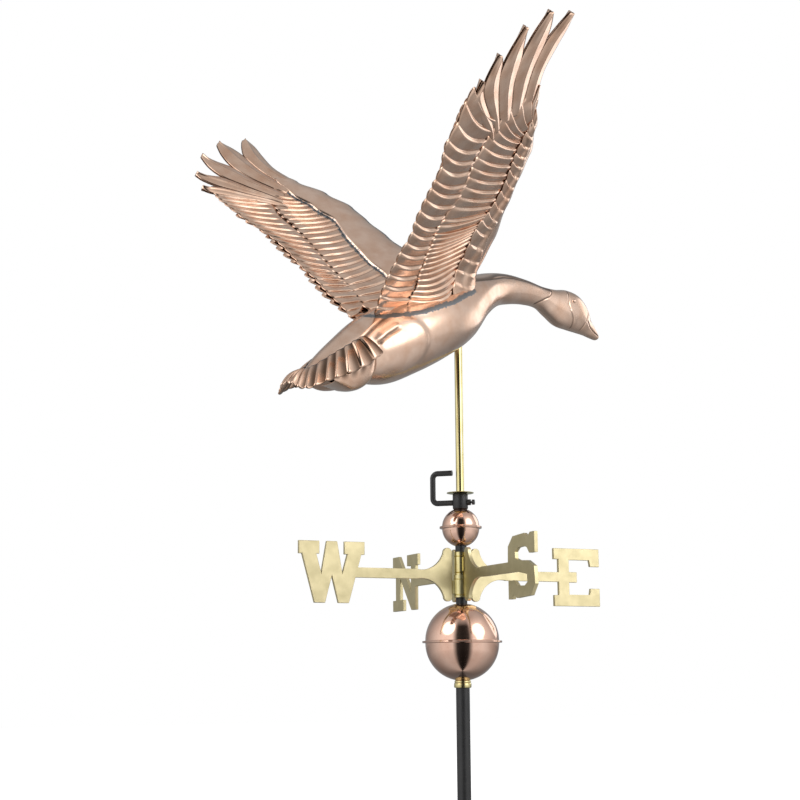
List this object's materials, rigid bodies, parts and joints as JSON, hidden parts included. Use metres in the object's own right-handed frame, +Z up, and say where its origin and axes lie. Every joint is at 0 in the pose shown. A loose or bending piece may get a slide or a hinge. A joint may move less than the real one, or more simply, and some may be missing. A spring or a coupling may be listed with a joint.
{
  "type": "weathervane",
  "caption": "Flying goose weathervane on a straight mast, with compass letters, hollow balls and a lift hook.",
  "frame": {"origin": "centre of the lower rod's foot", "axes": "+Z up the mast, +X to the letter E, +Y to the letter N; the goose is stored heading 22.75 degrees north of east"},
  "size_m": [0.6628, 0.6365, 1.1576],
  "materials": {
    "mast_steel": "black",
    "brass": "aged satin",
    "copper": "polished",
    "bearing_steel": "polished"
  },
  "bodies": {
    "mast": {"lower_rod": "mast_steel", "ferrule": "brass", "large_ball_lower": "copper", "large_ball_upper": "copper", "upper_rod": "mast_steel", "small_ball_lower": "copper", "small_ball_upper": "copper", "stop_collar": "mast_steel", "lift_hook": "mast_steel", "hook_nut": "mast_steel", "collar_screw": "mast_steel"},
    "directionals": {"lower_hub": "brass", "upper_hub": "brass", "hub_set_screws": "mast_steel", "east_arm": "brass", "north_arm": "brass", "west_arm": "brass", "south_arm": "brass"},
    "bearing": {"pivot_ball": "bearing_steel"},
    "figure": {"figure_tube": "brass", "tube_flange": "brass", "tube_plug": "brass", "body_right_half": "copper", "body_left_half": "copper", "tube_braces": "copper", "left_flight_feathers": "copper", "left_under_coverts": "copper", "left_small_coverts": "copper", "left_upper_coverts": "copper", "left_leading_edge": "copper", "right_flight_feathers": "copper", "right_under_coverts": "copper", "right_small_coverts": "copper", "right_upper_coverts": "copper", "right_leading_edge": "copper", "left_tail_fan": "copper", "right_tail_fan": "copper", "eyes": "copper"}
  },
  "joints": [
    {"name": "letters_turn", "type": "hinge", "parent": "mast", "child": "directionals", "pos_m": [0, 0, 0.4597], "axis": [0, 0, 1], "continuous": true},
    {"name": "figure_spin", "type": "hinge", "parent": "mast", "child": "bearing", "pos_m": [0, 0, 0.864], "axis": [0, 0, 1], "continuous": true},
    {"name": "figure_lift", "type": "slide", "parent": "bearing", "child": "figure", "axis": [0, 0, 1], "range_m": [0, 0.0243]}
  ]
}
